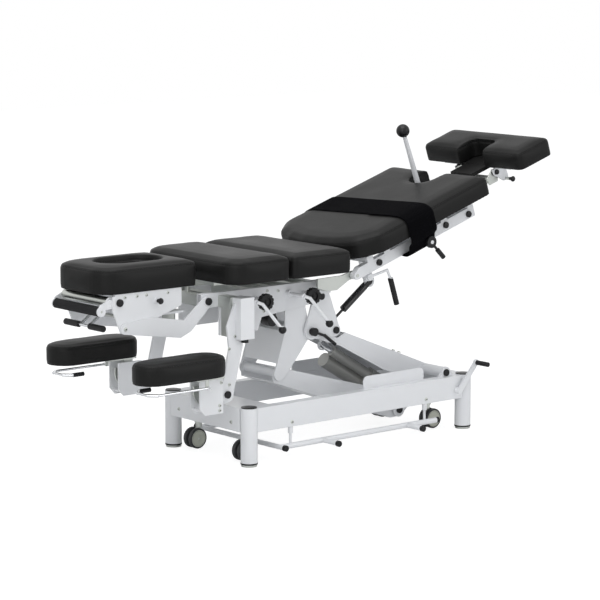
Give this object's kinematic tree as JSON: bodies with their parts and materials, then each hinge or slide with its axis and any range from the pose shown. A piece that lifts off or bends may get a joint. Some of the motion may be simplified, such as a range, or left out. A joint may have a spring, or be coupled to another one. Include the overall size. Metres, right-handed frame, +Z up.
{
  "type": "chiropractic table",
  "caption": "Chiropractic table on a parallelogram lift, with a tilting head section, two drop sections, arm rests, a sloping leg section with a strap and a sliding foot section.",
  "frame": {"origin": "on the floor, in the middle of the table's overall length and width", "axes": "+X along the table towards the foot section, +Y across it away from the side with the control levers, +Z up"},
  "size_m": [2.028, 0.646, 1.1331],
  "materials": {
    "white": "satin",
    "upholstery": "fine grain, low sheen",
    "strap_web": "woven, matt",
    "black_plastic": "satin",
    "black_foam": "matt",
    "wheel_rubber": "matt tread",
    "zinc": "bright zinc plate",
    "actuator_metal": "satin",
    "chrome": "polished",
    "black_metal": "gloss"
  },
  "bodies": {
    "base": {"side_rails": "white", "end_beams": "white", "legs": "white", "leg_feet": "zinc", "base_caps": "black_plastic", "base_lugs": "white", "castor_frame": "zinc"},
    "fork_head_near": {"fork_head_near": "zinc"},
    "wheels_head_near": {"wheels_head_near": "wheel_rubber"},
    "fork_head_far": {"fork_head_far": "zinc"},
    "wheels_head_far": {"wheels_head_far": "wheel_rubber"},
    "fork_foot_near": {"fork_foot_near": "zinc"},
    "wheels_foot_near": {"wheels_foot_near": "wheel_rubber"},
    "fork_foot_far": {"fork_foot_far": "zinc"},
    "wheels_foot_far": {"wheels_foot_far": "wheel_rubber"},
    "crank": {"castor_crank": "white"},
    "foot_bar": {"foot_bar": "white"},
    "upper_arm": {"upper_arm": "white"},
    "lower_arm": {"lower_arm": "white"},
    "carriage": {"carriage_plates": "white", "frame_rails": "white", "frame_cross": "zinc", "hinge_lugs": "zinc", "arm_hangers": "white", "carriage_caps": "black_plastic"},
    "actuator_tube": {"actuator_tube": "actuator_metal"},
    "actuator_rod": {"actuator_rod": "chrome"},
    "clamp_lever": {"clamp_lever": "black_plastic"},
    "thoracic": {"thoracic_pad": "upholstery", "thoracic_bracket": "zinc"},
    "thoracic_lever": {"thoracic_lever": "white"},
    "thoracic_knob": {"thoracic_knob": "black_plastic"},
    "lumbar": {"lumbar_pad": "upholstery", "lumbar_bracket": "zinc"},
    "lumbar_lever": {"lumbar_lever": "white"},
    "lumbar_knob": {"lumbar_knob": "black_plastic"},
    "head_arms": {"head_arms": "white"},
    "head": {"head_plates": "white", "head_pad": "upholstery"},
    "head_plunger": {"head_plunger": "black_plastic"},
    "head_handle": {"head_handle": "black_plastic"},
    "paper_bar": {"paper_bar": "black_foam"},
    "rest_near": {"rest_pad_near": "upholstery", "rest_stem_near": "zinc"},
    "rest_handle_near": {"rest_handle_near": "chrome"},
    "rest_far": {"rest_pad_far": "upholstery", "rest_stem_far": "zinc"},
    "rest_handle_far": {"rest_handle_far": "chrome"},
    "leg_section": {"leg_frame": "white", "leg_pad": "upholstery", "strap": "strap_web"},
    "gas_tube": {"gas_tube": "black_metal"},
    "gas_rod": {"gas_rod": "black_metal"},
    "leg_handle": {"leg_handle": "white"},
    "buckle": {"buckle": "black_plastic"},
    "flexion_lever": {"flexion_lever": "white"},
    "foot_slide": {"foot_slide": "zinc"},
    "foot_section": {"foot_plate": "white", "foot_pad": "upholstery"},
    "foot_plunger": {"foot_plunger": "black_plastic"}
  },
  "joints": [
    {"name": "swivel_head_near", "type": "hinge", "parent": "base", "child": "fork_head_near", "pos_m": [-0.379, -0.14, 0.092], "axis": [0, 0, 1], "continuous": true},
    {"name": "roll_head_near", "type": "hinge", "parent": "fork_head_near", "child": "wheels_head_near", "pos_m": [-0.397, -0.14, 0.0385], "axis": [0, 1, 0], "continuous": true},
    {"name": "swivel_head_far", "type": "hinge", "parent": "base", "child": "fork_head_far", "pos_m": [-0.379, 0.14, 0.092], "axis": [0, 0, 1], "continuous": true},
    {"name": "roll_head_far", "type": "hinge", "parent": "fork_head_far", "child": "wheels_head_far", "pos_m": [-0.397, 0.14, 0.0385], "axis": [0, 1, 0], "continuous": true},
    {"name": "swivel_foot_near", "type": "hinge", "parent": "base", "child": "fork_foot_near", "pos_m": [0.481, -0.14, 0.092], "axis": [0, 0, 1], "continuous": true},
    {"name": "roll_foot_near", "type": "hinge", "parent": "fork_foot_near", "child": "wheels_foot_near", "pos_m": [0.499, -0.14, 0.0385], "axis": [0, 1, 0], "continuous": true},
    {"name": "swivel_foot_far", "type": "hinge", "parent": "base", "child": "fork_foot_far", "pos_m": [0.481, 0.14, 0.092], "axis": [0, 0, 1], "continuous": true},
    {"name": "roll_foot_far", "type": "hinge", "parent": "fork_foot_far", "child": "wheels_foot_far", "pos_m": [0.499, 0.14, 0.0385], "axis": [0, 1, 0], "continuous": true},
    {"name": "crank_turn", "type": "hinge", "parent": "base", "child": "crank", "pos_m": [0.543, -0.2385, 0.152], "axis": [0, 1, 0], "range_deg": [-20, 60]},
    {"name": "foot_bar_press", "type": "slide", "parent": "base", "child": "foot_bar", "axis": [0, 0, 1], "range_m": [-0.008, 0.004], "stiffness_N_per_m": 9000, "springref_m": 0.0073},
    {"name": "lift", "type": "hinge", "parent": "base", "child": "upper_arm", "pos_m": [0.515, 0, 0.218], "axis": [0, 1, 0], "range_deg": [-6, 28]},
    {"name": "lower_arm_swing", "type": "hinge", "parent": "base", "child": "lower_arm", "pos_m": [0.377, 0, 0.079], "axis": [0, 1, 0], "range_deg": [-6.5, 28.5]},
    {"name": "carriage_level", "type": "hinge", "parent": "upper_arm", "child": "carriage", "pos_m": [-0.05871, 0, 0.42229], "axis": [0, 1, 0], "range_deg": [-28.5, 6.5]},
    {"name": "actuator_swing", "type": "hinge", "parent": "base", "child": "actuator_tube", "pos_m": [0.405, 0, 0.15], "axis": [0, 1, 0], "range_deg": [-7, 31]},
    {"name": "actuator_stroke", "type": "slide", "parent": "actuator_tube", "child": "actuator_rod", "axis": [-0.8551, 0, 0.5185], "range_m": [-0.0135, 0.0605]},
    {"name": "clamp_turn", "type": "hinge", "parent": "carriage", "child": "clamp_lever", "pos_m": [-0.05871, -0.125, 0.42229], "axis": [0, 1, 0], "range_deg": [-30, 30]},
    {"name": "thoracic_cock", "type": "hinge", "parent": "carriage", "child": "thoracic_lever", "pos_m": [-0.405, -0.224, 0.577], "axis": [0, 1, 0], "range_deg": [0, 25]},
    {"name": "thoracic_drop", "type": "slide", "parent": "carriage", "child": "thoracic", "axis": [0, 0, 1], "range_m": [-0.0152, 0.0002]},
    {"name": "thoracic_tension", "type": "hinge", "parent": "carriage", "child": "thoracic_knob", "pos_m": [-0.335, -0.189, 0.566], "axis": [0, 1, 0], "continuous": true},
    {"name": "lumbar_cock", "type": "hinge", "parent": "carriage", "child": "lumbar_lever", "pos_m": [-0.189, -0.224, 0.577], "axis": [0, 1, 0], "range_deg": [0, 25]},
    {"name": "lumbar_drop", "type": "slide", "parent": "carriage", "child": "lumbar", "axis": [0, 0, 1], "range_m": [-0.0152, 0.0002]},
    {"name": "lumbar_tension", "type": "hinge", "parent": "carriage", "child": "lumbar_knob", "pos_m": [-0.119, -0.189, 0.566], "axis": [0, 1, 0], "continuous": true},
    {"name": "head_lift", "type": "hinge", "parent": "carriage", "child": "head_arms", "pos_m": [-0.557, 0, 0.585], "axis": [0, 1, 0], "range_deg": [-15, 10]},
    {"name": "head_tilt", "type": "hinge", "parent": "head_arms", "child": "head", "pos_m": [-0.909, 0, 0.52504], "axis": [0, 1, 0], "range_deg": [-20, 8]},
    {"name": "head_lock_pull", "type": "slide", "parent": "head", "child": "head_plunger", "axis": [0, -1, 0], "range_m": [0, 0.008], "stiffness_N_per_m": 400},
    {"name": "head_handle_squeeze", "type": "hinge", "parent": "head", "child": "head_handle", "pos_m": [-0.919, 0, 0.566], "axis": [0, 1, 0], "range_deg": [0, 12], "stiffness_Nm_per_rad": 1.5, "springref_deg": -5.73},
    {"name": "paper_bar_roll", "type": "hinge", "parent": "head", "child": "paper_bar", "pos_m": [-0.997, 0, 0.591], "axis": [0, 1, 0], "continuous": true},
    {"name": "rest_tilt_near", "type": "hinge", "parent": "carriage", "child": "rest_near", "pos_m": [-0.621, -0.235, 0.3], "axis": [0, 1, 0], "range_deg": [-8, 18]},
    {"name": "rest_squeeze_near", "type": "hinge", "parent": "rest_near", "child": "rest_handle_near", "pos_m": [-0.675, -0.3, 0.318], "axis": [0, 1, 0], "range_deg": [0, 5], "stiffness_Nm_per_rad": 4, "springref_deg": -2.86},
    {"name": "rest_tilt_far", "type": "hinge", "parent": "carriage", "child": "rest_far", "pos_m": [-0.621, 0.235, 0.3], "axis": [0, 1, 0], "range_deg": [-8, 18]},
    {"name": "rest_squeeze_far", "type": "hinge", "parent": "rest_far", "child": "rest_handle_far", "pos_m": [-0.675, 0.3, 0.318], "axis": [0, 1, 0], "range_deg": [0, 5], "stiffness_Nm_per_rad": 4, "springref_deg": -2.86},
    {"name": "leg_tilt", "type": "hinge", "parent": "carriage", "child": "leg_section", "pos_m": [0.08, 0, 0.622], "axis": [0, -1, 0], "range_deg": [-25, 0]},
    {"name": "gas_swing", "type": "hinge", "parent": "carriage", "child": "gas_rod", "pos_m": [0.05529, -0.055, 0.41529], "axis": [0, -1, 0], "range_deg": [-11.5, 0.5]},
    {"name": "gas_stroke", "type": "slide", "parent": "gas_rod", "child": "gas_tube", "axis": [0.8078, 0, 0.5895], "range_m": [-0.0705, 0.0005]},
    {"name": "leg_release", "type": "hinge", "parent": "leg_section", "child": "leg_handle", "pos_m": [0.14727, -0.193, 0.60916], "axis": [0, -1, 0], "range_deg": [0, 8], "stiffness_Nm_per_rad": 2, "springref_deg": -5.73},
    {"name": "strap_cam", "type": "hinge", "parent": "leg_section", "child": "buckle", "pos_m": [0.391, -0.254, 0.72305], "axis": [0, 1, 0], "range_deg": [-30, 30]},
    {"name": "flexion_swing", "type": "hinge", "parent": "leg_section", "child": "flexion_lever", "pos_m": [0.595, 0, 0.81036], "axis": [0, 1, 0], "range_deg": [-2, 12]},
    {"name": "foot_extend", "type": "slide", "parent": "leg_section", "child": "foot_slide", "axis": [0.9511, 0, 0.309], "range_m": [-0.082, 0.06]},
    {"name": "foot_tilt", "type": "hinge", "parent": "foot_slide", "child": "foot_section", "pos_m": [0.86824, 0, 0.937], "axis": [0, -1, 0], "range_deg": [-15, 10]},
    {"name": "foot_lock_pull", "type": "slide", "parent": "foot_section", "child": "foot_plunger", "axis": [0, -1, 0], "range_m": [0, 0.008], "stiffness_N_per_m": 400}
  ],
  "couplings": [
    {"joint": "lower_arm_swing", "follows": "lift", "ratio": 1},
    {"joint": "carriage_level", "follows": "lift", "ratio": -1},
    {"joint": "actuator_swing", "follows": "lift", "ratio": 1.0749},
    {"joint": "actuator_stroke", "follows": "lift", "m_per_rad": 0.1222},
    {"joint": "thoracic_drop", "follows": "thoracic_cock", "m_per_rad": -0.03438},
    {"joint": "lumbar_drop", "follows": "lumbar_cock", "m_per_rad": -0.03438},
    {"joint": "gas_swing", "follows": "leg_tilt", "ratio": 0.4349},
    {"joint": "gas_stroke", "follows": "leg_tilt", "m_per_rad": 0.1596}
  ]
}
